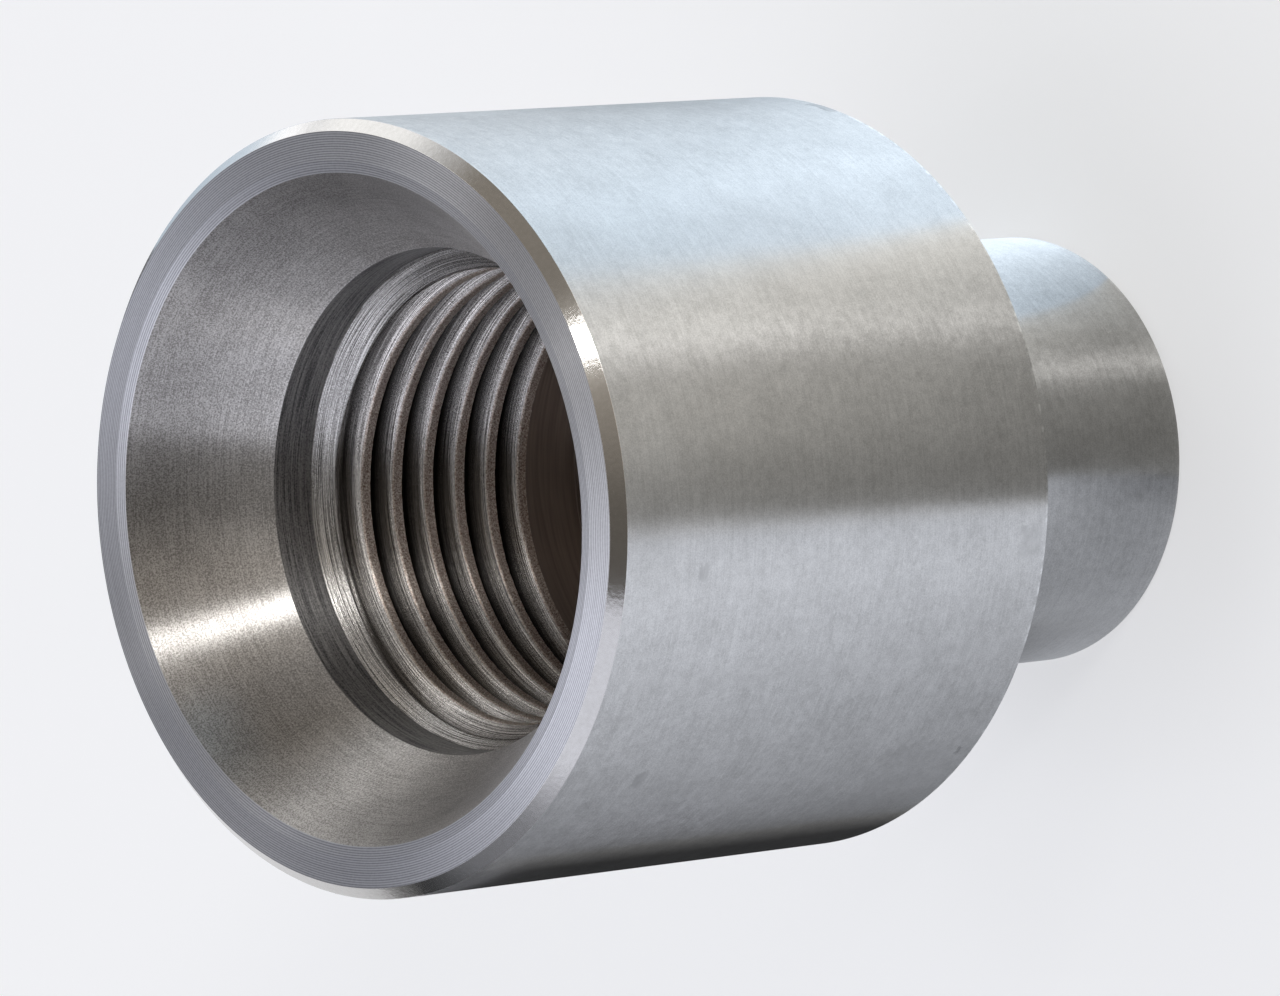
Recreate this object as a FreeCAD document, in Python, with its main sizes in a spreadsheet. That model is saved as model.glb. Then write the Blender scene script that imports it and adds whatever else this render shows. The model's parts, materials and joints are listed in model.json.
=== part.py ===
# Thread adapter: one turned steel piece, a wide body with a slim boss. A conical mouth leads into
# a female thread in the body, and a smaller bore runs through the boss to meet it.
# The piece stands on the boss, with its axis along Z and the mouth on top.
import FreeCAD, Part
import os
import re
import Sketcher

# Driving sizes in millimetres and degrees, each written only here
sizes = {
    # outside
    "body_diameter": 32.0,
    "body_length": 25.0,
    "boss_diameter": 18.6,
    "boss_length": 15.4,
    "rim_chamfer": 0.5,           # bright edge round the mouth's face
    "edge_break": 0.2,            # the other two outer edges
    "nose_radius": 0.4,           # corner between boss and body, as a turning tool leaves it
    # conical mouth, and the plain band below it
    "mouth_diameter": 27.6,
    "lip_width": 0.5,             # shallow step from the face down to the cone
    "lip_drop": 0.1,
    "cone_depth": 5.5,
    "band_length": 2.1,
    "band_clearance": 0.045,      # on the diameter, past the thread's roots
    # female thread, a half-inch parallel pipe thread
    "thread_major": 20.955,
    "thread_pitch": 1.814,
    "depth_ratio": 0.64,          # full thread depth in pitches
    "flank_angle": 27.5,          # between a flank and a plane across the axis
    "crest_clearance": 0.367,     # on the diameter, what the drill takes off the crests
    # run-out chamber below the thread, and the drilled wall left under it
    "chamber_length": 3.6,
    "chamber_clearance": 0.245,   # on the diameter, past the thread's roots
    "land_length": 0.3,
    # boss's bore, drilled to be tapped with a quarter-inch parallel pipe thread
    "boss_bore": 11.8,
    "countersink": 0.9,
    "web_thickness": 1.6,         # from the large hole's floor to the shoulder
}

doc = FreeCAD.newDocument("ThreadAdapter")
sheet = doc.addObject("Spreadsheet::Sheet", "dims")
for row, (alias, value) in enumerate(sizes.items(), start=1):
    sheet.set(f"A{row}", alias)
    sheet.set(f"B{row}", str(value))
    sheet.setAlias(f"B{row}", alias)
doc.recompute()

body = doc.addObject("PartDesign::Body", "adapter_body")
body.Label = "adapter_body"


def formula(text):
    """Name the sheet in front of each size in a formula."""
    return re.sub(r"[a-z_]+", lambda word: f"dims.{word[0]}" if word[0] in sizes else word[0], text)


def outline(name, corners):
    """A closed sketch on the XZ plane through corners, each a pair of formulas: radius and height."""
    sketch = body.newObject("Sketcher::SketchObject", name)
    plane = next(item for item in body.Origin.OriginFeatures if item.Role == "XZ_Plane")
    sketch.AttachmentSupport = [(plane, "")]
    sketch.MapMode = "FlatFace"
    # any distinct places do for a start, because each corner is then held by its own constraints
    start = [FreeCAD.Vector(1 + k, 1 + k * k, 0) for k in range(len(corners))]
    for k in range(len(corners)):
        sketch.addGeometry(Part.LineSegment(start[k - 1], start[k]), False)
    for k, (radius, height) in enumerate(corners):
        following = (k + 1) % len(corners)
        sketch.addConstraint(Sketcher.Constraint("Coincident", k, 2, following, 1))
        for kind, axis, place, text in (("DistanceX", -2, start[k].x, radius),
                                        ("DistanceY", -1, start[k].y, height)):
            if text == "0":
                sketch.addConstraint(Sketcher.Constraint("PointOnObject", k, 2, axis))
            else:
                at = sketch.addConstraint(Sketcher.Constraint(kind, -1, 1, k, 2, place))
                sketch.setExpression(f"Constraints[{at}]", formula(text))
    return sketch


def turned(kind, name, corners):
    """Sweep an outline once round the axis, to add metal or to take it away."""
    sketch = outline(f"{name}_outline", corners)
    feature = body.newObject(kind, name)
    feature.Profile = sketch
    feature.ReferenceAxis = (sketch, ["V_Axis"])
    feature.Angle = 360
    return feature


# Heights above the end of the boss
top = "boss_length + body_length"
bandTop = f"{top} - cone_depth"
bandBottom = f"{bandTop} - band_length"
floor = "boss_length + web_thickness"
chamberFloor = f"{floor} + land_length"
chamberTop = f"{chamberFloor} + chamber_length"

# Radii
threadDepth = "depth_ratio * thread_pitch"
rootRadius = "thread_major / 2"
crestRadius = f"( thread_major / 2 - {threadDepth} + crest_clearance / 2 )"
bandRadius = "( thread_major + band_clearance ) / 2"
chamberRadius = "( thread_major + chamber_clearance ) / 2"

# Outside: the boss below, the body above, and the rounded corner between them
outside = turned("PartDesign::Revolution", "outside", [
    ("0", "0"),
    ("boss_diameter / 2 - edge_break", "0"),
    ("boss_diameter / 2", "edge_break"),
    ("boss_diameter / 2", "boss_length"),
    ("body_diameter / 2 - edge_break", "boss_length"),
    ("body_diameter / 2", "boss_length + edge_break"),
    ("body_diameter / 2", f"{top} - rim_chamfer"),
    ("body_diameter / 2 - rim_chamfer", top),
    ("0", top),
])
doc.recompute()


def isShoulderCorner(edge):
    """Is this the circle where the boss meets the body?"""
    box = edge.BoundBox
    return (abs(box.ZMin - sizes["boss_length"]) + abs(box.ZMax - sizes["boss_length"])
            + abs(box.XLength - sizes["boss_diameter"]) < 1e-3)


corner = body.newObject("PartDesign::Fillet", "shoulder_corner")
corner.Base = (outside, [f"Edge{number}" for number, edge in enumerate(outside.Shape.Edges, start=1)
                         if isShoulderCorner(edge)])
corner.setExpression("Radius", formula("nose_radius"))

# Inside, from the mouth down: lip, cone, band, a 45 degree lead-in, drilled wall, chamber and land
turned("PartDesign::Groove", "mouth_hole", [
    ("0", floor),
    (crestRadius, floor),
    (crestRadius, chamberFloor),
    (chamberRadius, chamberFloor),
    (chamberRadius, chamberTop),
    (crestRadius, chamberTop),
    (crestRadius, f"{bandBottom} - {bandRadius} + {crestRadius}"),
    (bandRadius, bandBottom),
    (bandRadius, bandTop),
    ("mouth_diameter / 2", f"{top} - lip_drop"),
    ("mouth_diameter / 2 + lip_width", top),
    ("0", top),
])

# The boss's bore, from a 45 degree countersink up to the large hole
turned("PartDesign::Groove", "boss_hole", [
    ("0", "0"),
    ("boss_bore / 2 + countersink", "0"),
    ("boss_bore / 2", "countersink"),
    ("boss_bore / 2", floor),
    ("0", floor),
])

# The thread: a V groove with its point cut off, swept up a right-handed helix.
# It is half a pitch wide at half the thread's depth, and it starts a little inside the drilled
# wall, so that it cuts cleanly. It begins in the chamber and ends past the lead-in.
grooveLow = f"{chamberTop} - thread_pitch"
grooveHigh = f"{bandBottom} + thread_pitch / 2"
innerRadius = f"( {crestRadius} - {threadDepth} / 4 )"


def halfWidth(radius):
    """Half the groove's width at a radius, from the width at half depth and the flank's slope."""
    return f"( thread_pitch / 4 + ( {rootRadius} - {threadDepth} / 2 - {radius} ) * tan(flank_angle) )"


groove = body.newObject("PartDesign::SubtractiveHelix", "mouth_thread")
groove.Profile = outline("mouth_thread_outline", [
    (innerRadius, f"{grooveLow} - {halfWidth(innerRadius)}"),
    (rootRadius, f"{grooveLow} - {halfWidth(rootRadius)}"),
    (rootRadius, f"{grooveLow} + {halfWidth(rootRadius)}"),
    (innerRadius, f"{grooveLow} + {halfWidth(innerRadius)}"),
])
groove.ReferenceAxis = (groove.Profile[0], ["V_Axis"])
groove.Mode = "pitch-height-angle"
groove.setExpression("Pitch", formula("thread_pitch"))
groove.setExpression("Height", formula(f"{grooveHigh} - ( {grooveLow} )"))
doc.recompute()

for item in doc.Objects:
    if {"Invalid", "Error"} & set(item.State):
        raise RuntimeError(f"{item.Name} failed: {item.State}")
shape = body.Shape
if shape.isNull() or not shape.isValid() or len(shape.Solids) != 1:
    raise RuntimeError("the adapter isn't one valid solid")

os.makedirs("parts", exist_ok=True)
shape.exportStep(f"parts/{body.Label}.step")
print(body.Label, "volume", round(shape.Volume, 1), "mm3, faces", len(shape.Faces))
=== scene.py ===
# Thread adapter of turned steel, dressed in Blender: one closed skin with both threads cut into it,
# its finishes zone by zone, a pale floor, soft studio light and the camera.
import json
import math

import bpy
import numpy as np
from mathutils import Matrix, Vector


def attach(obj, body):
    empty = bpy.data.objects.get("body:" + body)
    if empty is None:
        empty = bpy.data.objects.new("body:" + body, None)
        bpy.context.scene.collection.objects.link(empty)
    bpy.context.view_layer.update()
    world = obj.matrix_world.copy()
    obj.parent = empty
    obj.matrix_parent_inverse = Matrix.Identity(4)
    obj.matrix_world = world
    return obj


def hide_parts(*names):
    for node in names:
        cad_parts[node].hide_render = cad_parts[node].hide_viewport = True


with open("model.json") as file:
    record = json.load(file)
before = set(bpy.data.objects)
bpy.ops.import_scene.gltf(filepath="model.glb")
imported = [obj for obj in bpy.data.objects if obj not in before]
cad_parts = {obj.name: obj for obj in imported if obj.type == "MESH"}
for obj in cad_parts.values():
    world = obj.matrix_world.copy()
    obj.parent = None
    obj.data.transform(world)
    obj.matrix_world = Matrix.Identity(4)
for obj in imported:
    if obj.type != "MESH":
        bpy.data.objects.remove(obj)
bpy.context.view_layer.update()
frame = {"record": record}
mounts = {mount["name"]: mount for mount in frame["record"]["mounts"]}
mm = 0.001
print("frame loaded")


# The skin

# lengths in millimetres and angles in degrees; what the frame knows is read from it
skin = {
    "bodyRadius": mounts["body_outside"]["dims"]["r_mm"],
    "bossRadius": mounts["boss_outside"]["dims"]["r_mm"],
    "crestRadius": mounts["mouth_thread"]["dims"]["r_mm"],
    "boreRadius": mounts["outlet_thread"]["dims"]["r_mm"],
    "top": mounts["front_face"]["pos_m"][2] / mm,
    "shoulder": mounts["shoulder"]["pos_m"][2] / mm,
    "rimChamfer": 0.5,
    "edgeBreak": 0.2,
    "noseRadius": 0.4,
    "mouthRadius": 13.8,
    "lipWidth": 0.5,
    "lipDrop": 0.1,
    "coneDepth": 5.5,
    "bandLength": 2.1,
    "bandRadius": 10.5,
    "webThickness": 1.6,
    "landLength": 0.3,
    "chamberLength": 3.6,
    "chamberRadius": 10.6,
    "countersink": 0.9,
    "feedLine": 0.1,          # spacing of the turned lines on the front ring
    "feedDepth": 0.004,
    "softEdge": 0.04,         # rounding left on every turned edge
    "softEnd": 0.03,          # rounding where a thread runs out into its lead-in or countersink
    "nearJoin": 0.05,         # a ring of points this far from a join keeps its shading even
    "floorRing": 1.0,         # and one on the large hole's floor, this far outside the bore
    "columns": 256,           # points round the axis
}
# tear is how far the cutter has dragged metal off the crests, wander how far their edges waver
bigThread = {"pitch": 1.814, "root": 10.4775, "crest": skin["crestRadius"], "rowsAPitch": 24,
             "soft": 0.015, "tear": 0.04, "wander": 0.012}
smallThread = {"pitch": 1.337, "root": 6.5785, "crest": skin["boreRadius"], "rowsAPitch": 8,
               "soft": 0.05, "tear": 0.0, "wander": 0.0}
pipeForm = {"depth": 0.64, "flank": 27.5}     # depth in pitches, and a flank's lean in degrees
flankSlope = math.tan(math.radians(pipeForm["flank"]))
nearly = 1e-4                 # heights closer than this are the same

angles = np.arange(skin["columns"] + 1) / skin["columns"] * 2 * math.pi


# A smaller-of-two and a larger-of-two that bend over a short stretch instead of breaking
def softMin(a, b, stretch):
    blend = np.clip(0.5 + (b - a) / (2 * stretch), 0, 1)
    return b + (a - b) * blend - stretch * blend * (1 - blend)


def softMax(a, b, stretch):
    return -softMin(-a, -b, stretch)


# Uneven marks along a wall, between -1 and 1: a few waves of whole turns that cross each other
def marks(angle, height, seed):
    return (np.sin(angle * (37 + seed) + height * 4.1) * np.sin(angle * (61 - seed) - height * 7.3)
            + 0.5 * np.sin(angle * (89 + seed) + height * 13.0)
            + 0.5 * np.sin(angle * (13 + seed) - height * 1.7)) / 2


# Radius of a threaded wall. The groove's middle climbs one pitch a turn, and the radius falls from
# the root by the flank's slope with the distance from that middle, between root and crest.
def threadRadius(thread, height, angle, start):
    pitch = thread["pitch"]
    turns = (height - start) / pitch - angle / (2 * math.pi)
    away = np.abs(turns - np.round(turns)) * pitch + thread["wander"] * marks(angle, height, seed=5)
    flank = thread["root"] - pipeForm["depth"] * pitch / 2 - (away - pitch / 4) / flankSlope
    tear = thread["tear"] * np.clip(marks(angle, height, seed=0), 0, 1)
    wall = softMax(flank, thread["crest"] + tear, thread["soft"])
    return softMin(wall, thread["root"], thread["soft"])


# A path through corners (radius, height, rounding): each rounded corner becomes an arc of a few
# steps. One more point stands beside it each way, to keep the shading of long runs even, beside
# times as far from the corner as the arc's end.
def roundedPath(corners, steps=4, beside=1.6):
    points = []
    last = len(corners) - 1
    for k, (radius, height, rounding) in enumerate(corners):
        here = np.array([radius, height], float)
        if rounding == 0 or k in (0, last):
            points.append(here)
            continue
        before = np.array(corners[k - 1][:2], float) - here
        after = np.array(corners[k + 1][:2], float) - here
        before /= np.linalg.norm(before)
        after /= np.linalg.norm(after)
        half = math.acos(np.clip(before @ after, -1, 1)) / 2
        reach = rounding / math.tan(half)
        middle = (before + after) / np.linalg.norm(before + after)
        centre = here + middle * rounding / math.sin(half)
        points.append(here + before * reach * beside)
        begin = here + before * reach - centre
        finish = here + after * reach - centre
        sweep = math.pi - 2 * half
        share = np.linspace(0, 1, steps + 1)[:, None]
        arc = (np.sin((1 - share) * sweep) * begin + np.sin(share * sweep) * finish) / math.sin(sweep)
        points.extend(centre + arc)
        points.append(here + after * reach * beside)
    return np.array(points)


# One closed mesh from two turned walls and two threaded ones
class Skin:
    def __init__(self):
        self.points = []
        self.quads = []
        self.finish = []
        self.count = 0

    # Adds points given as radius and height at each angle, and returns their numbers
    def addPoints(self, radius, height, angle):
        xyz = np.stack([radius * np.cos(angle), radius * np.sin(angle), height], -1).reshape(-1, 3)
        numbers = self.count + np.arange(len(xyz))
        self.points.append(xyz)
        self.count += len(xyz)
        return numbers.reshape(radius.shape)

    # Faces between neighbouring rows and columns of point numbers, outward when rows go up outside.
    # The finish is one for all rows, or one for each.
    def addFaces(self, numbers, finish):
        quads = np.stack([numbers[:-1, :-1], numbers[:-1, 1:], numbers[1:, 1:], numbers[1:, :-1]], -1)
        finish = np.broadcast_to(np.atleast_1d(finish)[:, None], quads.shape[:2])
        self.quads.append(quads.reshape(-1, 4))
        self.finish.append(finish.reshape(-1))

    # A turned wall: each row is carried once round the axis
    def addTurned(self, radius, height, finish):
        numbers = self.addPoints(*np.broadcast_arrays(radius, height, angles[:-1]))
        numbers = np.concatenate([numbers, numbers[:, :1]], 1)
        self.addFaces(numbers, finish)
        return numbers

    # A threaded wall from a high ring of points down to a low one. Its rows climb one pitch a turn
    # and stop at the rings, so crests and roots follow the rows; a row's end meets the row that
    # starts one pitch higher.
    def addThreaded(self, wall, thread, highRing, lowRing, high, low, rowHeights, finish):
        climb = thread["pitch"] * angles / (2 * math.pi)
        height = rowHeights[:, None] + climb[None, :]
        angle = np.broadcast_to(angles, height.shape)
        radius = wall(np.clip(height, low, high), angle)
        above, below = height >= high - nearly, height <= low + nearly
        inside = ~above & ~below
        own = inside.copy()
        own[:, -1] = False
        numbers = np.full(height.shape, -1)
        numbers[own] = self.addPoints(radius[own], height[own], angle[own])
        step = thread["rowsAPitch"]
        ends = np.arange(len(rowHeights) - step)
        numbers[ends, -1] = np.where(inside[ends, -1], numbers[ends + step, 0], -1)
        columns = np.broadcast_to(np.arange(len(angles)), height.shape)
        numbers = np.where(above, highRing[columns], numbers)
        numbers = np.where(below, lowRing[columns], numbers)
        self.addFaces(numbers[::-1], finish)

    def build(self, name):
        points = np.concatenate(self.points) * mm
        quads = np.concatenate(self.quads)
        finish = np.concatenate(self.finish)
        # two triangles a quad, without those that the ends of the threads have squeezed flat
        triangles = np.stack([quads[:, [0, 1, 2]], quads[:, [0, 2, 3]]], 1).reshape(-1, 3)
        finish = np.repeat(finish, 2)
        whole = ((triangles[:, 0] != triangles[:, 1]) & (triangles[:, 1] != triangles[:, 2])
                 & (triangles[:, 2] != triangles[:, 0]))
        triangles, finish = triangles[whole], finish[whole]
        mesh = bpy.data.meshes.new(name)
        mesh.vertices.add(len(points))
        mesh.vertices.foreach_set("co", points.ravel())
        mesh.loops.add(triangles.size)
        mesh.loops.foreach_set("vertex_index", triangles.ravel().astype(np.int32))
        mesh.polygons.add(len(triangles))
        mesh.polygons.foreach_set("loop_start", np.arange(0, triangles.size, 3, dtype=np.int32))
        mesh.polygons.foreach_set("material_index", finish.astype(np.int32))
        mesh.polygons.foreach_set("use_smooth", np.ones(len(triangles), bool))
        mesh.update(calc_edges=True)
        print(name, "points", len(points), "triangles", len(triangles), "valid", not mesh.validate())
        return mesh


# Heights of the inner steps
bandTop = skin["top"] - skin["coneDepth"]
bandBottom = bandTop - skin["bandLength"]
floorHeight = skin["shoulder"] + skin["webThickness"]
chamberFloor = floorHeight + skin["landLength"]
chamberTop = chamberFloor + skin["chamberLength"]
bigStart = chamberTop - bigThread["pitch"]
smallStart = -smallThread["pitch"]
countersinkRadius = skin["boreRadius"] + skin["countersink"]


# Each thread's wall is the larger of its own radius and that of the 45 degree cone at its mouth
def bigWall(height, angle):
    leadIn = skin["bandRadius"] - (bandBottom - height)
    return softMax(threadRadius(bigThread, height, angle, bigStart), leadIn, skin["softEnd"])


def smallWall(height, angle):
    countersink = countersinkRadius - height
    return softMax(threadRadius(smallThread, height, angle, smallStart), countersink, skin["softEnd"])


# Row heights of a thread: rows stand close at the edges of crest and root, and repeat each pitch
def threadRows(thread, start, high, low):
    share = np.arange(thread["rowsAPitch"]) / thread["rowsAPitch"]
    turns = np.arange(math.floor((low - start) / thread["pitch"]) - 1,
                      math.ceil((high - start) / thread["pitch"]) + 2)
    return (start + thread["pitch"] * (turns[:, None] + share[None, :])).ravel()


finishes = ["outside", "ring", "chamfer", "cone", "band", "thread", "bore"]
soft = skin["softEdge"]
ringOuter = skin["bodyRadius"] - skin["rimChamfer"]
ringInner = skin["mouthRadius"] + skin["lipWidth"]
feedLines = round((ringOuter - ringInner) / skin["feedLine"])
feedRadius = np.linspace(ringOuter, ringInner, 2 * feedLines + 1)
feedCorners = [(radius, skin["top"] - skin["feedDepth"] * (k % 2), 0)
               for k, radius in enumerate(feedRadius[1:-1], start=1)]

outerPath = roundedPath([
    (countersinkRadius, 0, 0),
    (countersinkRadius + 2 * skin["nearJoin"], 0, 0),
    (skin["bossRadius"] - skin["edgeBreak"], 0, soft),
    (skin["bossRadius"], skin["edgeBreak"], soft),
    (skin["bossRadius"], skin["shoulder"], skin["noseRadius"]),
    (skin["bodyRadius"] - skin["edgeBreak"], skin["shoulder"], soft),
    (skin["bodyRadius"], skin["shoulder"] + skin["edgeBreak"], soft),
    (skin["bodyRadius"], skin["top"] - skin["rimChamfer"], soft),
    (ringOuter, skin["top"], soft / 2),
    *feedCorners,
    (ringInner, skin["top"], soft / 2),
    (skin["mouthRadius"], skin["top"] - skin["lipDrop"], soft),
    (skin["bandRadius"], bandTop, soft),
    (skin["bandRadius"], bandBottom + skin["nearJoin"], 0),
    (skin["bandRadius"], bandBottom, 0),
])
innerPath = roundedPath([
    (skin["chamberRadius"], chamberTop, 0),
    (skin["chamberRadius"], chamberTop - skin["nearJoin"], 0),
    (skin["chamberRadius"], chamberFloor, soft),
    (skin["crestRadius"], chamberFloor, soft),
    (skin["crestRadius"], floorHeight, soft),
    (skin["boreRadius"] + skin["floorRing"], floorHeight, 0),
])


# The finish of each row of faces on the outer path, by where the row lies
def outerFinish(path):
    radius = (path[1:, 0] + path[:-1, 0]) / 2
    height = (path[1:, 1] + path[:-1, 1]) / 2
    rim = skin["top"] - skin["rimChamfer"]
    finish = np.full(len(radius), finishes.index("outside"))
    finish[(height > rim) & (radius > ringOuter)] = finishes.index("chamfer")
    finish[(height > rim) & (radius <= ringOuter)] = finishes.index("ring")
    finish[(radius < skin["mouthRadius"]) & (height > bandTop)] = finishes.index("cone")
    finish[(radius < skin["mouthRadius"]) & (height <= bandTop)
           & (height > skin["shoulder"])] = finishes.index("band")
    return finish


adapter = Skin()
outer = adapter.addTurned(outerPath[:, :1], outerPath[:, 1:], outerFinish(outerPath))
# the inner wall's first and last rings follow the grooves that end there
threadEnd = bigWall(chamberTop, angles[:-1])
holeEnd = smallWall(floorHeight, angles[:-1])
innerRadius = np.vstack([threadEnd, np.repeat(innerPath[:, :1], len(threadEnd), 1), holeEnd])
innerHeight = np.concatenate([[chamberTop], innerPath[:, 1], [floorHeight]])
inner = adapter.addTurned(innerRadius, innerHeight[:, None], finishes.index("bore"))
adapter.addThreaded(bigWall, bigThread, outer[-1], inner[0], bandBottom, chamberTop,
                    threadRows(bigThread, bigStart, bandBottom, chamberTop), finishes.index("thread"))
adapter.addThreaded(smallWall, smallThread, inner[-1], outer[0], floorHeight, 0,
                    threadRows(smallThread, smallStart, floorHeight, 0), finishes.index("bore"))
adapterMesh = adapter.build("turnedAdapter")


# The finishes

# A board of shader nodes, each added and wired up by one call
class Board:
    def __init__(self, tree):
        self.nodes = tree.nodes
        self.links = tree.links

    def add(self, kind):
        return self.nodes.new(kind)

    # Sets a socket to a number or a colour, or links it to another socket
    def feed(self, socket, value):
        if isinstance(value, bpy.types.NodeSocket):
            self.links.new(value, socket)
        elif isinstance(value, tuple) and socket.type == "RGBA":
            socket.default_value = (*value, 1)
        elif value is not None:
            socket.default_value = value

    def fill(self, node, *values):
        for socket, value in zip(node.inputs, values):
            self.feed(socket, value)

    def math(self, operation, *values):
        node = self.add("ShaderNodeMath")
        node.operation = operation
        self.fill(node, *values)
        return node.outputs[0]

    def vector(self, operation, first, second=None, scale=None):
        node = self.add("ShaderNodeVectorMath")
        node.operation = operation
        self.fill(node, first, second, None, scale)
        return node.outputs[1 if operation == "LENGTH" else 0]

    def split(self, vector):
        node = self.add("ShaderNodeSeparateXYZ")
        self.fill(node, vector)
        return node.outputs

    def join(self, *parts):
        node = self.add("ShaderNodeCombineXYZ")
        self.fill(node, *parts)
        return node.outputs[0]

    # A value spread from its own range to another, and held there
    def spread(self, value, low, high, to=(0.0, 1.0), smooth=False):
        node = self.add("ShaderNodeMapRange")
        node.interpolation_type = "SMOOTHSTEP" if smooth else "LINEAR"
        self.fill(node, value, low, high, *to)
        return node.outputs[0]

    def blend(self, share, first, second):
        node = self.add("ShaderNodeMix")
        node.data_type = "RGBA"
        for place, value in ((0, share), (6, first), (7, second)):
            self.feed(node.inputs[place], value)
        return node.outputs[2]

    # Weighted sum of patterns
    def sum(self, *pairs):
        total = 0.0
        for pattern, weight in pairs:
            total = self.math("MULTIPLY_ADD", pattern, weight, total)
        return total

    # 1 where a value is within inner of a middle one, and 0 from outer on
    def near(self, value, middle, outer, inner):
        return self.spread(self.math("ABSOLUTE", self.math("SUBTRACT", value, middle)), outer, inner)

    # A value pushed to and fro by a pattern, reach from end to end
    def waver(self, value, pattern, reach):
        return self.math("ADD", value, self.math("MULTIPLY_ADD", pattern, reach, -reach / 2))


# What each zone's steel is like: its roughness, and the range of it where a pattern varies it; how
# far the turned lines draw its highlights out; the lines' width and length and its relief, in
# millimetres; and the darkest and the lightest steel of each pattern
steels = {
    "outside": {"roughness": 0.33, "roughRange": (0.31, 0.36), "drawn": 1.0, "lines": (0.09, 4),
                "relief": 0.005, "satin": ((0.52, 0.515, 0.505), (0.76, 0.755, 0.745)),
                "burrs": (0.9, 0.9, 0.89),
                "burrReach": (0.06, 0.14),    # off the shoulder's edge, where they are full and gone
                # the colour of the smudges and rubs, and of the dents' painted shade
                "dirt": (0.1, 0.1, 0.1),
                "dirtCore": 0.7,              # share of a mark's reach where it is full
                "dirtWaver": (3, 0.8)},       # how far its edges waver, in degrees and millimetres
    "ring": {"roughness": 0.36, "drawn": 0.95, "lines": (0.1, 6), "relief": 0.006,
             "face": ((0.28, 0.28, 0.29), (0.56, 0.56, 0.58)),
             "lean": 0.01},    # feed marks lean, so a turned face mirrors away from the axis
    "chamfer": {"roughness": 0.16, "drawn": 0.4, "relief": 0.003,
                "polish": ((0.56, 0.55, 0.53), (0.66, 0.65, 0.64))},
    "cone": {"roughness": 0.34, "drawn": 1.0, "lines": (0.08, 2.5), "relief": 0.009,
             "shallow": ((0.23, 0.22, 0.21), (0.52, 0.505, 0.49)),
             # the deep steel is lighter by painted light
             "deep": ((0.38, 0.365, 0.35), (0.82, 0.8, 0.78)),
             "shallowDepth": 1.5},     # the shallow steel's lower end, below the front face
    "band": {"roughness": 0.42, "drawn": 0.9, "lines": (0.08, 3), "relief": 0.02,
             "scoured": ((0.12, 0.12, 0.125), (0.62, 0.61, 0.6))},
    "thread": {"roughness": 0.3, "roughRange": (0.27, 0.36), "drawn": 0.95, "lines": (0.055, 5),
               "relief": 0.004,
               "lead": ((0.1, 0.095, 0.09), (0.7, 0.685, 0.67)),
               "flank": ((0.12, 0.11, 0.105), (0.8, 0.77, 0.74)),
               # the crests' dull, speckled steel is partly painted light: lighter than the flanks for the
               # light the crests catch
               "crest": ((0.38, 0.27, 0.21), (1.0, 0.93, 0.86)),
               "crestFade": (0.04, 0.08),     # past the crests their finish ends between these
               # painted shade: the colour the flanks darken to towards the roots
               "grime": (0.016, 0.013, 0.011),
               "grimeInset": 0.15,            # none this far past the crests, full this far off the roots
               "grimeStart": (0.4, 2.0),      # the painted shade comes up to strength between these depths below the lead-in
               "grimeLeast": 0.55},           # from this share of its strength
    "bore": {"roughness": 0.42, "drawn": 0.7, "lines": (0.15, 4), "relief": 0.01,
             "drilled": ((0.24, 0.2, 0.175), (0.56, 0.49, 0.445))},
}


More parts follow.
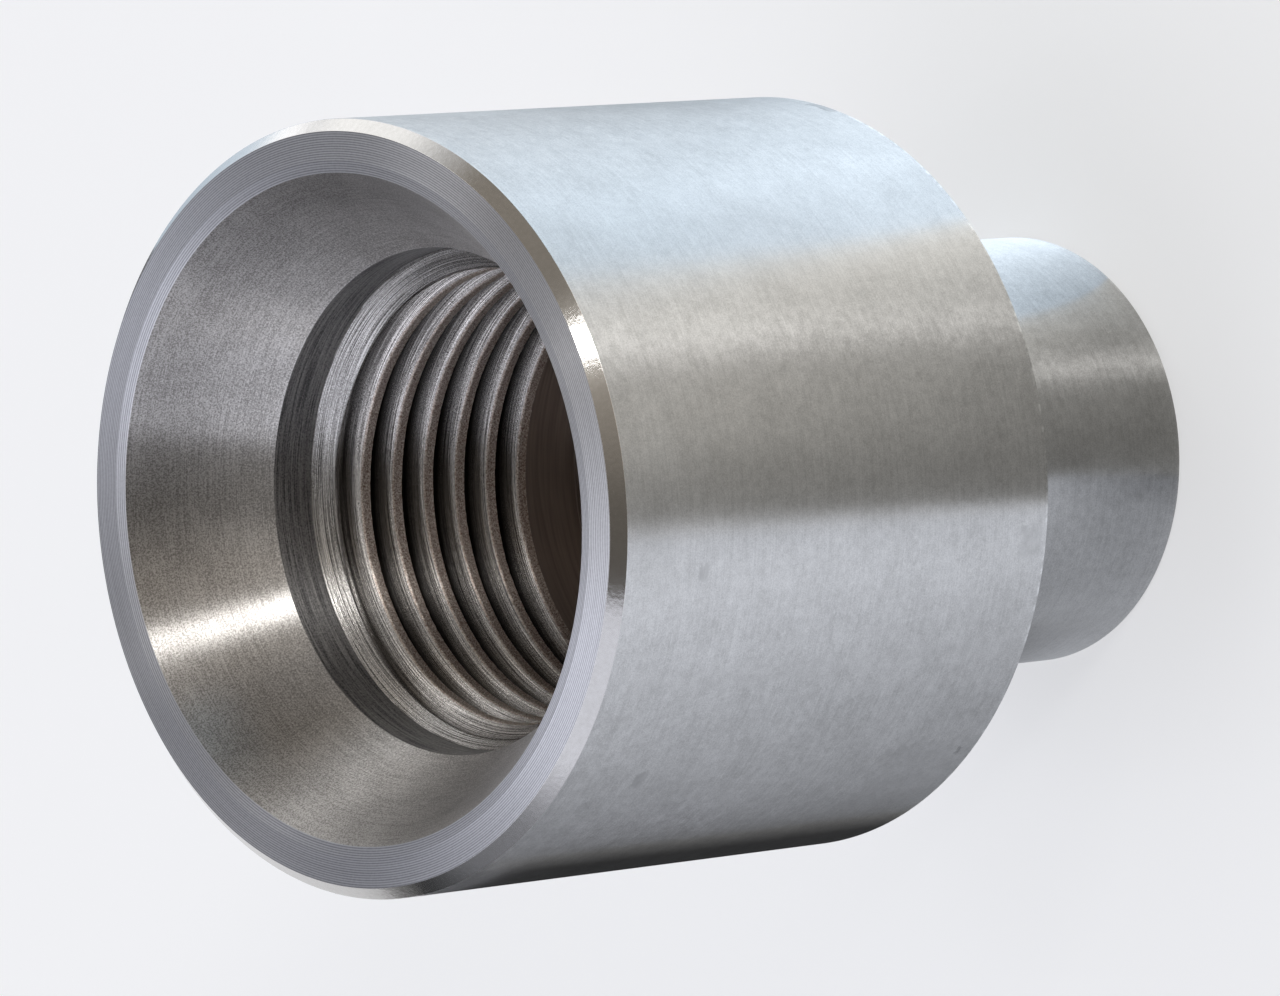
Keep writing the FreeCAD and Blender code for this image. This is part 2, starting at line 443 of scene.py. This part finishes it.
# One finish of the steel. Its patterns are worked out on the piece's own place, in millimetres.
class Finish(Board):
    def __init__(self, zone):
        self.look = steels[zone]
        self.material = bpy.data.materials.new(zone + "Steel")
        self.material.use_nodes = True
        super().__init__(self.material.node_tree)
        self.shader = self.nodes["Principled BSDF"]
        self.shader.inputs["Metallic"].default_value = 1
        self.shader.inputs["Roughness"].default_value = self.look["roughness"]
        self.shader.inputs["Anisotropic"].default_value = self.look["drawn"]
        self.shader.inputs["Anisotropic Rotation"].default_value = 0.25    # across the lines
        tangent = self.add("ShaderNodeTangent")
        tangent.direction_type = "RADIAL"
        tangent.axis = "Z"
        self.feed(self.shader.inputs["Tangent"], tangent.outputs["Tangent"])
        where = self.add("ShaderNodeTexCoord").outputs["Object"]
        self.place = self.vector("SCALE", where, scale=1 / mm)
        self.x, self.y, self.height = self.split(self.place)
        self.radius = self.vector("LENGTH", self.join(self.x, self.y, 0))

    def noise(self, scale, detail=2.0, roughness=0.5, vector=None):
        node = self.add("ShaderNodeTexNoise")
        self.feed(node.inputs["Vector"], vector or self.place)
        self.feed(node.inputs["Scale"], scale)
        self.feed(node.inputs["Detail"], detail)
        self.feed(node.inputs["Roughness"], roughness)
        return node.outputs[0]

    # Turned lines: noise drawn out to the lines' length round the piece, and their width along its
    # section. Radius counts 1.7 times, so that it and height don't cancel out on a slope.
    def turned(self, detail=2.0):
        width, length = self.look["lines"]
        along = self.sum((self.radius, 1.7 / width), (self.height, 1 / width))
        drawn = self.join(self.math("MULTIPLY", self.x, 1 / length),
                          self.math("MULTIPLY", self.y, 1 / length), along)
        return self.noise(1.0, detail, vector=drawn)

    # A pattern's share between its darkest and its lightest steel
    def tint(self, share, pattern):
        return self.blend(share, *self.look[pattern])

    def paint(self, colour):
        self.feed(self.shader.inputs["Base Color"], colour)

    def roughen(self, roughness):
        self.feed(self.shader.inputs["Roughness"], roughness)

    # Relief from a height of 0 to 1, on a face that leans outwards where its steel says so
    def relief(self, height):
        node = self.add("ShaderNodeBump")
        self.feed(node.inputs["Strength"], 1)
        self.feed(node.inputs["Distance"], self.look["relief"] * mm)
        self.feed(node.inputs["Height"], height)
        if "lean" in self.look:
            lean = self.vector("SCALE", self.join(self.x, self.y, 0), scale=self.look["lean"])
            tipped = self.vector("ADD", self.add("ShaderNodeNewGeometry").outputs["Normal"], lean)
            self.feed(node.inputs["Normal"], self.vector("NORMALIZE", tipped))
        self.feed(self.shader.inputs["Normal"], node.outputs["Normal"])


# Marks of handling on the outside: the middle as (angle, height), how far they reach each way in degrees
# and in millimetres, and how strongly they darken the steel. The two dents are not hollowed out but
# painted dark: painted shade.
scuffs = {
    "topSmudge": (-168.1, 15.8, 3.0, 0.45, 0.5),
    "squareRub": (106.5, 16.55, 2.7, 0.75, 0.2),
    "dent": (106.9, 35.6, 1.6, 0.35, 0.3),
    "lowDent": (72.1, 35.5, 1.8, 0.4, 0.3),
    "speck": (70.1, 16.5, 0.9, 0.2, 0.6),
    "rubs": (64.7, 18, 9, 3.5, 0.12),
}


def outsideFinish():
    steel = Finish("outside")
    look = steel.look
    patches = steel.noise(scale=0.5, detail=3, roughness=0.6)
    mottle = steel.noise(scale=2.6, detail=3, roughness=0.65)
    grain = steel.noise(scale=16, roughness=0.7)
    lines = steel.turned()
    tone = steel.sum((patches, 0.17), (mottle, 0.26), (grain, 0.42), (lines, 0.15))
    satin = steel.tint(steel.spread(tone, 0.39, 0.61), "satin")
    # a broken line of light burrs along the shoulder's edge
    burrFull, burrEnd = look["burrReach"]
    edge = steel.near(steel.height, skin["shoulder"] + skin["edgeBreak"], burrEnd, burrFull)
    burrs = steel.math("MULTIPLY", edge, steel.spread(mottle, 0.47, 0.65))
    satin = steel.blend(burrs, satin, look["burrs"])
    # the marks are boxes whose edges waver, filled with broken lines
    turnWaver, riseWaver = look["dirtWaver"]
    turn = steel.math("MULTIPLY", steel.math("ARCTAN2", steel.y, steel.x), 180 / math.pi)
    turn = steel.waver(turn, mottle, turnWaver)
    rise = steel.waver(steel.height, mottle, riseWaver)
    dirt = 0.0
    for angle, height, wide, tall, strength in scuffs.values():
        across = steel.near(turn, angle, wide, wide * look["dirtCore"])
        along = steel.near(rise, height, tall, tall * look["dirtCore"])
        dirt = steel.math("MULTIPLY_ADD", steel.math("MULTIPLY", across, along), strength, dirt)
    broken = steel.spread(steel.sum((lines, 0.5), (grain, 0.5)), 0.35, 0.6)
    # dirt, and the dents' painted shade, darken the satin steel
    steel.paint(steel.blend(steel.math("MULTIPLY", dirt, broken), satin, look["dirt"]))
    steel.roughen(steel.spread(mottle, 0.3, 0.7, to=look["roughRange"]))
    steel.relief(steel.sum((grain, 0.5), (lines, 0.5)))
    return steel.material


# The front face: even feed lines, as the cutter crossed it, under finer uneven ones
def ringFinish():
    steel = Finish("ring")
    feed = steel.math("SINE", steel.math("MULTIPLY", steel.radius, 2 * math.pi / skin["feedLine"]))
    fine = steel.noise(scale=8)
    lines = steel.turned()
    tone = steel.sum((steel.spread(feed, -1, 1), 0.45), (fine, 0.25), (lines, 0.3))
    steel.paint(steel.tint(steel.spread(tone, 0.25, 0.75), "face"))
    steel.relief(steel.sum((fine, 0.5), (lines, 0.5)))
    return steel.material


def chamferFinish():
    steel = Finish("chamfer")
    fine = steel.noise(scale=5)
    steel.paint(steel.tint(fine, "polish"))
    steel.relief(fine)
    return steel.material


# The cone is painted lighter towards the band: painted light deep in the cone, where the rim shades it
def coneFinish():
    steel = Finish("cone")
    lines = steel.turned()
    grain = steel.noise(scale=14, roughness=0.7)
    blotches = steel.noise(scale=0.6, detail=3)
    tone = steel.spread(steel.sum((lines, 0.22), (grain, 0.66), (blotches, 0.12)), 0.41, 0.59)
    # painted light: the steel lightens from the shallow steel near the lip to the deep steel at the band
    downwards = steel.spread(steel.height, skin["top"] - steel.look["shallowDepth"], bandTop)
    steel.paint(steel.blend(downwards, steel.tint(tone, "shallow"), steel.tint(tone, "deep")))
    steel.relief(steel.sum((lines, 0.85), (grain, 0.15)))
    return steel.material


def bandFinish():
    steel = Finish("band")
    grain = steel.noise(scale=12, detail=3, roughness=0.7)
    lines = steel.turned()
    tone = steel.sum((grain, 0.5), (lines, 0.5))
    steel.paint(steel.tint(steel.spread(tone, 0.38, 0.66), "scoured"))
    steel.relief(tone)
    return steel.material


# The thread and its lead-in. The drilled crests are dull and speckled, and painted lighter than the
# flanks with painted light, and the flanks darken towards the roots with painted shade.
def threadFinish():
    steel = Finish("thread")
    look, crestRadius = steel.look, skin["crestRadius"]
    leadEnd = bandBottom - skin["bandRadius"] + crestRadius
    offLead = steel.spread(steel.height, leadEnd + 0.03, leadEnd - 0.03)
    fadeStart, fadeEnd = look["crestFade"]
    flat = steel.spread(steel.radius, crestRadius + fadeEnd, crestRadius + fadeStart)
    onCrest = steel.math("MULTIPLY", offLead, flat)
    lines = steel.turned(detail=3)
    grain = steel.noise(scale=14, detail=3, roughness=0.75)
    tone = steel.spread(steel.sum((lines, 0.65), (grain, 0.35)), 0.4, 0.6)
    # painted shade darkens the grooves towards the roots, but less the first one, next to the lead-in
    inset, (shallow, deep) = look["grimeInset"], look["grimeStart"]
    depth = steel.spread(steel.radius, crestRadius + inset, bigThread["root"] - inset)
    shadeAlongThread = steel.spread(steel.height, leadEnd - shallow, leadEnd - deep, to=(look["grimeLeast"], 1.0))
    grime = steel.math("MULTIPLY", steel.math("POWER", depth, 1.2), shadeAlongThread)
    shadedFlank = steel.blend(grime, steel.tint(tone, "flank"), look["grime"])
    # the crests are painted lighter than the flanks, painted light that the crests catch
    crest = steel.tint(steel.spread(grain, 0.4, 0.6), "crest")
    steel.paint(steel.blend(onCrest, steel.blend(offLead, steel.tint(tone, "lead"), shadedFlank), crest))
    steel.roughen(steel.spread(onCrest, 0, 1, to=look["roughRange"]))
    steel.relief(tone)
    return steel.material


def boreFinish():
    steel = Finish("bore")
    lines = steel.turned()
    steel.paint(steel.tint(lines, "drilled"))
    steel.relief(lines)
    return steel.material


# in the order of the list of finishes, which the faces' numbers follow
for finish in (outsideFinish, ringFinish, chamferFinish, coneFinish, bandFinish, threadFinish,
               boreFinish):
    adapterMesh.materials.append(finish())

turnedAdapter = bpy.data.objects.new("turnedAdapter", adapterMesh)
bpy.context.scene.collection.objects.link(turnedAdapter)
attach(turnedAdapter, "root")
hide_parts("adapter_body")
print("adapter done")


# The camera

# where the front face's centre lies from the camera, right, down and ahead in millimetres, and how
# the piece's axis points away from it, in radians; spin turns the thread's start about the axis
view = {
    "centre": (-12.011, 0.508, 378.38),
    "aside": 0.8007,
    "dip": -0.0657,
    "spin": math.radians(296.7),
    "lens": 260.55,
    "sensor": 36,             # the picture's width behind the lens, both in millimetres
    "nearest": 0.01,          # nothing closer than this shows, in metres
}


# The piece's own directions in camera terms (right, down, ahead): into the mouth along the axis,
# then two across it. In the frame they are down, and two level directions turned by the spin.
def cameraMatrix():
    aside, dip = view["aside"], view["dip"]
    into = Vector((math.sin(aside) * math.cos(dip), math.sin(dip), math.cos(aside) * math.cos(dip)))
    across = Vector((-math.cos(aside), 0, math.sin(aside)))
    along = into.cross(across)
    frameInto = Vector((0, 0, -1))
    frameAcross = Vector((math.cos(view["spin"]), math.sin(view["spin"]), 0))
    frameAlong = frameInto.cross(frameAcross)
    pairs = ((into, frameInto), (across, frameAcross), (along, frameAlong))

    def inFrame(arrow):
        return sum((own * arrow.dot(seen) for seen, own in pairs), Vector((0, 0, 0)))

    place = Vector((0, 0, skin["top"])) - inFrame(Vector(view["centre"]))
    # Blender's camera looks back along its own Z, with its Y up
    axes = [inFrame(Vector(axis)) for axis in ((1, 0, 0), (0, -1, 0), (0, 0, -1))]
    turn = Matrix(axes).transposed().to_4x4()
    return Matrix.Translation(place * mm) @ turn


camera = bpy.data.objects.new("camera", bpy.data.cameras.new("camera"))
camera.data.lens = view["lens"]
camera.data.sensor_width = view["sensor"]
camera.data.clip_start = view["nearest"]
camera.matrix_world = cameraMatrix()
bpy.context.scene.collection.objects.link(camera)
bpy.context.scene.camera = camera
print("camera at", [round(value, 4) for value in camera.matrix_world.translation])


# The floor and the light

floor = {
    "reach": 1.5,             # from the middle to each side, in metres
    "colour": (0.93, 0.935, 0.945),
    "roughness": 0.9,
    "shown": 0.5,             # the share of its own colour that shows through its shade
}
floorMesh = bpy.data.meshes.new("floor")
reach = floor["reach"]
floorMesh.from_pydata([(-reach, -reach, 0), (reach, -reach, 0), (reach, reach, 0), (-reach, reach, 0)],
                      [], [(0, 1, 2, 3)])


# A pale floor. Where it is seen or mirrored, its own colour shows through its shade by a fixed share.
def floorFinish(colour, roughness, shown):
    material = bpy.data.materials.new("paleFloor")
    material.use_nodes = True
    board = Board(material.node_tree)
    shader = board.nodes["Principled BSDF"]
    board.feed(shader.inputs["Base Color"], colour)
    board.feed(shader.inputs["Roughness"], roughness)
    rays = board.add("ShaderNodeLightPath").outputs
    seen = board.sum((rays["Is Camera Ray"], shown), (rays["Is Glossy Ray"], shown),
                     (rays["Is Transmission Ray"], shown))
    glow = board.add("ShaderNodeEmission")
    board.feed(glow.inputs["Color"], colour)
    both = board.add("ShaderNodeMixShader")
    board.fill(both, seen, shader.outputs[0], glow.outputs[0])
    board.feed(board.nodes["Material Output"].inputs["Surface"], both.outputs[0])
    return material


floorMesh.materials.append(floorFinish(floor["colour"], floor["roughness"], floor["shown"]))
floorObject = bpy.data.objects.new("floor", floorMesh)
bpy.context.scene.collection.objects.link(floorObject)


# The way from the piece to a bearing and an elevation. Bearings are counted from the camera's
# across direction towards the top of the picture.
def wayTo(bearing, elevation):
    turn, rise = view["spin"] - math.radians(bearing), math.radians(elevation)
    return Vector((math.cos(turn) * math.cos(rise), math.sin(turn) * math.cos(rise), math.sin(rise)))


# A soft lamp that faces the middle of the piece. Its brightness is that of its face, where 1 is
# white, and roll tips it over sideways. Angles are in degrees and lengths in metres.
def softLamp(name, bearing, elevation, roll, distance, width, height, brightness, colour):
    data = bpy.data.lights.new(name, "AREA")
    data.shape = "RECTANGLE"
    data.size, data.size_y = width, height
    data.energy = brightness * math.pi * width * height
    data.color = colour
    lamp = bpy.data.objects.new(name, data)
    toLamp = wayTo(bearing, elevation)
    place = Matrix.Translation(Vector((0, 0, skin["top"] / 2 * mm)) + toLamp * distance)
    lamp.matrix_world = (place @ toLamp.to_track_quat("Z", "Y").to_matrix().to_4x4()
                         @ Matrix.Rotation(math.radians(roll), 4, "Z"))
    lamp.visible_camera = False
    bpy.context.scene.collection.objects.link(lamp)


lamps = {
    "windowLamp": {"bearing": 138, "elevation": 30, "roll": -18, "distance": 0.8, "width": 0.07,
                   "height": 0.44, "brightness": 12.5, "colour": (1.0, 0.99, 0.97)},
}
for lampName, lampValues in lamps.items():
    softLamp(lampName, **lampValues)

# Cards that only the steel mirrors, as a photographer props them up out of the picture. Each
# slopes up through folds, given as (distance, height) in millimetres, and has stops of (bearing,
# brightness at each fold).
cards = {
    "topCard": {"folds": [(9.4, 0.05), (13, 1.7), (26, 9), (60, 32)], "tint": (0.92, 1.07, 1.23),
                "stops": [(18, 1.8, 1.6, 0.25, 0.8), (63, 1.8, 1.6, 0.38, 1.15),
                          (74, 1.8, 1.55, 0.64, 1.4), (84, 1.7, 1.55, 1.0, 1.6),
                          (94, 1.6, 1.45, 1.3, 1.4), (105, 1.4, 1.0, 1.6, 1.35),
                          (115, 1.0, 0.72, 1.55, 0.7), (126, 0.7, 0.55, 1.6, 0.22)]},
    "frontCard": {"folds": [(9.4, 0.05), (13, 1.7), (26, 9), (60, 32)], "tint": (1.0, 0.99, 0.95),
                  "stops": [(126, 0.7, 0.55, 1.6, 0.22), (136, 0.5, 0.4, 1.05, 0.3),
                            (146, 0.35, 0.2, 0.44, 0.2), (157, 0.25, 0.24, 0.33, 0.75),
                            (167, 0.22, 0.24, 0.24, 0.9), (177, 0.2, 0.2, 0.2, 0.57),
                            (187.5, 0.2, 0.18, 0.2, 0.45)]},
    "sideCard": {"folds": [(9.4, 0.05), (13, 1.2), (20, 4), (38, 45)], "tint": (0.94, 0.98, 1.07),
                 "stops": [(187.5, 0.2, 0.08, 0.82, 0.82), (192, 0.28, 0.1, 0.76, 1.1),
                           (199, 0.4, 0.22, 0.68, 1.25), (208, 0.4, 0.28, 0.57, 1.06),
                           (218, 0.45, 0.33, 0.5, 0.93), (229, 0.5, 0.44, 0.35, 0.84),
                           (239, 0.55, 0.5, 0.35, 0.66), (250, 0.57, 0.53, 0.36, 0.42),
                           (260, 0.57, 0.53, 0.23, 0.36), (270, 0.56, 0.5, 0.08, 0.2),
                           (288, 0.55, 0.5, 0.01, 0.01)]},
    "backCard": {"folds": [(45, 0), (300, 20)], "tint": (1.0, 1.0, 1.02),
                 "stops": [(350, 0.12, 0.12), (372, 0.1, 0.1), (382, 0.2, 0.2), (389, 1.7, 1.7),
                           (402, 1.7, 1.7)]},
    "edgeCard": {"folds": [(17.0, 0), (17.0, 39.2)], "tint": (1.0, 1.0, 1.0),
                 "stops": [(247, 0.2, 0.2), (254, 0.02, 0.02), (284, 0.02, 0.02), (296, 0.5, 0.5)]},
}
cardColumns = 40              # points along a card


# A card is a strip of rows of points, one row at each fold, along its bearings. Its light is a
# colour at each point, between the stops.
def propCard(name, folds, tint, stops):
    bearings, *brightness = (np.array(column) for column in zip(*stops))
    along = np.linspace(bearings[0], bearings[-1], cardColumns)
    turn = view["spin"] - np.radians(along)
    rows = [np.stack([distance * np.cos(turn), distance * np.sin(turn), np.full_like(turn, height)], 1)
            for distance, height in folds]
    first = np.arange(len(folds) - 1)[:, None] * cardColumns + np.arange(cardColumns - 1)
    faces = np.stack([first, first + 1, first + 1 + cardColumns, first + cardColumns], -1).reshape(-1, 4)
    mesh = bpy.data.meshes.new(name)
    mesh.from_pydata((np.concatenate(rows) * mm).tolist(), [], faces.tolist())
    light = np.concatenate([np.interp(along, bearings, fold) for fold in brightness])
    colours = mesh.color_attributes.new("light", "FLOAT_COLOR", "POINT")
    colours.data.foreach_set("color", (light[:, None] * np.array([*tint, 1])).ravel())
    material = bpy.data.materials.new(name)
    material.use_nodes = True
    board = Board(material.node_tree)
    attribute = board.add("ShaderNodeAttribute")
    attribute.attribute_name = "light"
    shader = board.nodes["Principled BSDF"]
    board.feed(shader.inputs["Base Color"], (0.0, 0.0, 0.0))
    board.feed(shader.inputs["Roughness"], 1)
    board.feed(shader.inputs["Emission Color"], attribute.outputs["Color"])
    board.feed(shader.inputs["Emission Strength"], 1)
    mesh.materials.append(material)
    card = bpy.data.objects.new(name, mesh)
    card.visible_camera = card.visible_diffuse = card.visible_shadow = False
    bpy.context.scene.collection.objects.link(card)


for cardName, cardValues in cards.items():
    propCard(cardName, **cardValues)

# The room round the set, in bands from the floor up. Each band is (top, walls): the elevation
# that it reaches, and its walls as (bearing, brightness, tint).
tints = {"blue": (0.7, 0.92, 1.1), "lilac": (0.92, 0.94, 1.04), "brown": (1.0, 0.9, 0.78),
         "plain": (1.0, 1.0, 1.0)}
room = {
    "bands": [
        (6, [(0, 1, "plain"), (30, 1.5, "plain"), (60, 1.5, "plain"), (80, 1.5, "plain"),
             (100, 2, "blue"), (114, 3, "blue"), (125, 3, "plain"), (140, 3, "plain"),
             (155, 1, "brown"), (175, 0.2, "brown"), (187, 0.15, "brown"), (189, 4, "lilac"),
             (215, 4, "lilac"), (240, 1, "lilac"), (265, 0.4, "lilac"), (300, 0.1, "plain"),
             (330, 0.1, "plain")]),
        (30, [(0, 0.3, "lilac"), (25, 0.4, "plain"), (42, 1.3, "plain"), (60, 1.4, "plain"),
              (70, 0.7, "plain"), (80, 0.3, "brown"), (96, 0.25, "brown"), (115, 0.4, "brown"),
              (130, 0.9, "brown"), (160, 0.75, "brown"), (180, 0.2, "brown"), (205, 0.08, "brown"),
              (206.5, 0.8, "lilac"), (250, 0.95, "lilac"), (275, 0.3, "lilac"), (310, 0.15, "lilac"),
              (344, 0.8, "lilac"), (353, 0.3, "lilac")]),
        (52, [(0, 0.45, "lilac"), (5, 0.95, "lilac"), (13, 0.25, "lilac"), (40, 0.25, "plain"),
              (49, 2.8, "plain"), (57, 2.4, "plain"), (70, 0.7, "brown"), (96, 0.3, "brown"),
              (115, 0.25, "brown"), (142, 0.4, "brown"), (165, 0.28, "brown"), (180, 0.16, "brown"),
              (210, 0.1, "brown"), (211.5, 1.0, "lilac"), (250, 1.0, "lilac"), (268, 1.3, "lilac"),
              (290, 1.7, "lilac"), (308, 1.7, "lilac"), (334, 0.7, "lilac"), (343, 0.15, "lilac")]),
        (76, [(0, 0.8, "lilac"), (14, 0.7, "lilac"), (30, 0.4, "brown"), (60, 0.5, "plain"),
              (75, 0.8, "plain"), (112, 0.9, "plain"), (125, 0.4, "brown"), (165, 0.1, "brown"),
              (213.5, 0.06, "brown"), (215, 1.2, "lilac"), (270, 1.4, "lilac"), (288, 2.7, "lilac"),
              (308, 2.4, "lilac"), (332, 1.6, "lilac"), (346, 3.2, "lilac")]),
        (90, [(0, 1.5, "plain")]),
    ],
    "blur": 1.5,              # how softly one band turns into the next
    "strength": 12,           # brightness that the walls are shares of
}


def roomColour(brightness, tint):
    return tuple(brightness / room["strength"] * part for part in tints[tint])


def roomLight():
    world = bpy.data.worlds.new("room")
    world.use_nodes = True
    board = Board(world.node_tree)
    x, y, z = board.split(board.add("ShaderNodeTexCoord").outputs["Generated"])
    elevation = board.math("MULTIPLY", board.math("ARCSINE", z), 180 / math.pi)
    turn = board.math("MULTIPLY", board.math("ARCTAN2", y, x), -0.5 / math.pi)
    turn = board.math("FRACT", board.math("ADD", turn, view["spin"] / (2 * math.pi) + 1))
    light = None
    below = 0
    for top, walls in room["bands"]:
        ramp = board.add("ShaderNodeValToRGB")
        board.feed(ramp.inputs[0], turn)
        elements = ramp.color_ramp.elements
        for element in elements:          # the two ends, where the walls close on themselves
            element.color = (*roomColour(*walls[0][1:]), 1)
        for bearing, brightness, tint in walls[1:]:
            elements.new(bearing / 360).color = (*roomColour(brightness, tint), 1)
        share = board.spread(elevation, below - room["blur"], below + room["blur"], smooth=True)
        light = board.blend(share, light, ramp.outputs[0]) if light else ramp.outputs[0]
        below = top
    board.feed(board.nodes["Background"].inputs["Color"], light)
    board.nodes["Background"].inputs["Strength"].default_value = room["strength"]
    return world


bpy.context.scene.world = roomLight()
bpy.context.scene.view_settings.view_transform = "Standard"
print("light and floor done")

bpy.context.view_layer.update()
